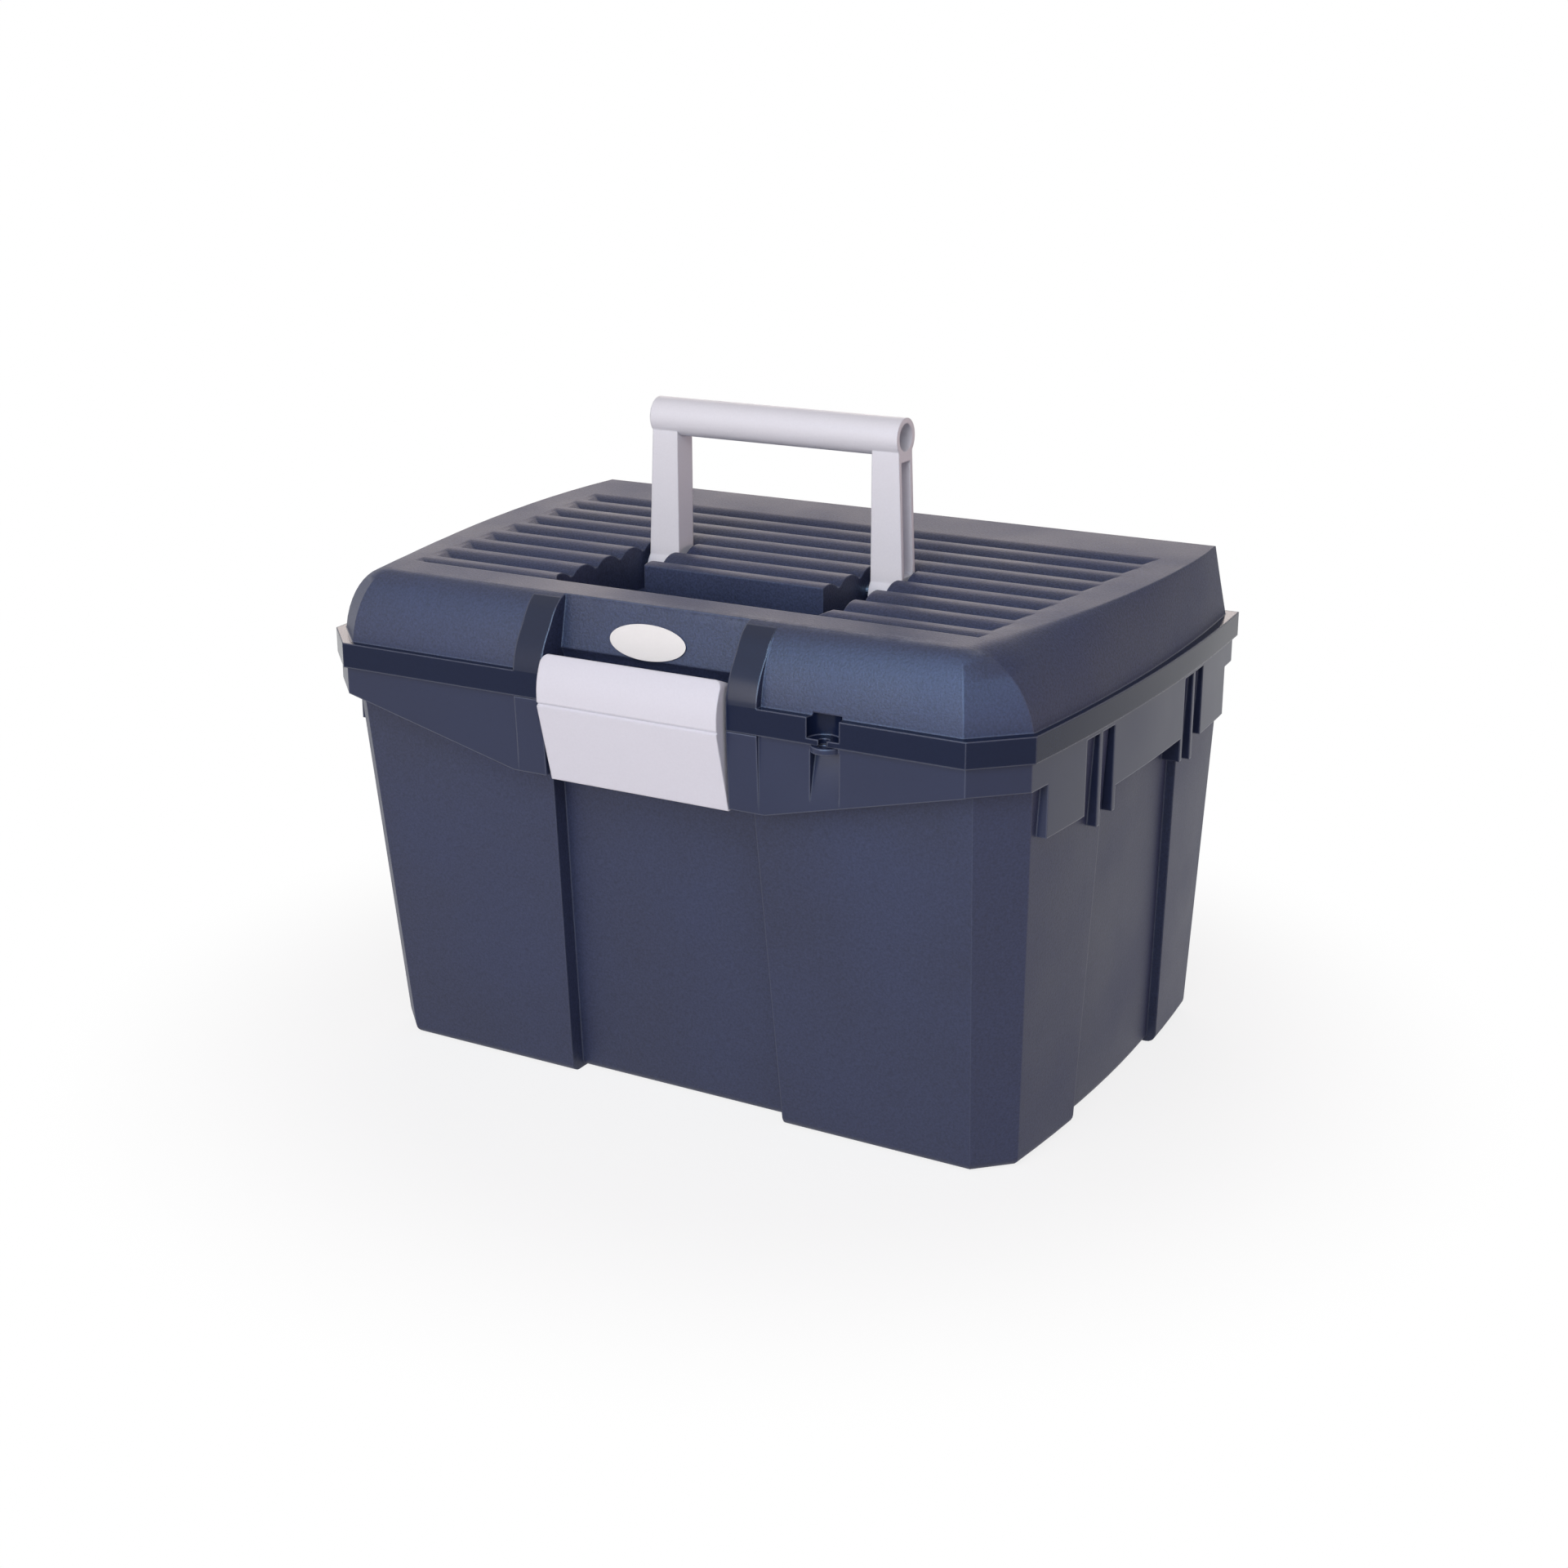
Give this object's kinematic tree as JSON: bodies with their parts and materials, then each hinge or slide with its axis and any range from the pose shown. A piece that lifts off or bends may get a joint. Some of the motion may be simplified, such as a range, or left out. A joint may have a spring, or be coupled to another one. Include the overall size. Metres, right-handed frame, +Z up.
{
  "type": "horse grooming box",
  "caption": "Moulded plastic grooming box with a hinged ribbed lid, a folding carry handle, a front latch, a padlock eye and a lift-out tray.",
  "frame": {"origin": "middle of the base, on the floor, half way between the latch's front and the hinge knuckles' back", "axes": "+X along the box to the padlock eye's end, -Y to the latch, +Z up"},
  "size_m": [0.4, 0.294, 0.3333],
  "materials": {
    "tub_plastic": "fine-grained navy moulding",
    "lid_plastic": "fine-grained navy moulding with a glossy rim",
    "grey_plastic": "satin light grey moulding",
    "badge_white": "smooth white, blank",
    "pin_steel": "plain",
    "tray_plastic": "fine-grained light grey moulding"
  },
  "bodies": {
    "tub": {"tub": "tub_plastic", "hinge_pin_left": "pin_steel", "hinge_pin_right": "pin_steel"},
    "lid": {"lid": "lid_plastic", "badge": "badge_white", "handle_pin_left": "pin_steel", "handle_pin_right": "pin_steel", "latch_pin": "pin_steel"},
    "carry_handle": {"carry_handle": "grey_plastic"},
    "latch": {"latch": "grey_plastic"},
    "tray": {"lift_out_tray": "tray_plastic"}
  },
  "joints": [
    {"name": "lid_hinge", "type": "hinge", "parent": "tub", "child": "lid", "pos_m": [0, 0.141, 0.209], "axis": [-1, 0, 0], "range_deg": [0, 105]},
    {"name": "handle_fold", "type": "hinge", "parent": "lid", "child": "carry_handle", "pos_m": [0, -0.0028, 0.246], "axis": [1, 0, 0], "range_deg": [0, 90]},
    {"name": "latch_swing", "type": "hinge", "parent": "lid", "child": "latch", "pos_m": [0, -0.1336, 0.223], "axis": [-1, 0, 0], "range_deg": [0, 95]},
    {"name": "tray_lift", "type": "slide", "parent": "tub", "child": "tray", "axis": [0, 0, 1], "range_m": [0, 0.025]}
  ]
}
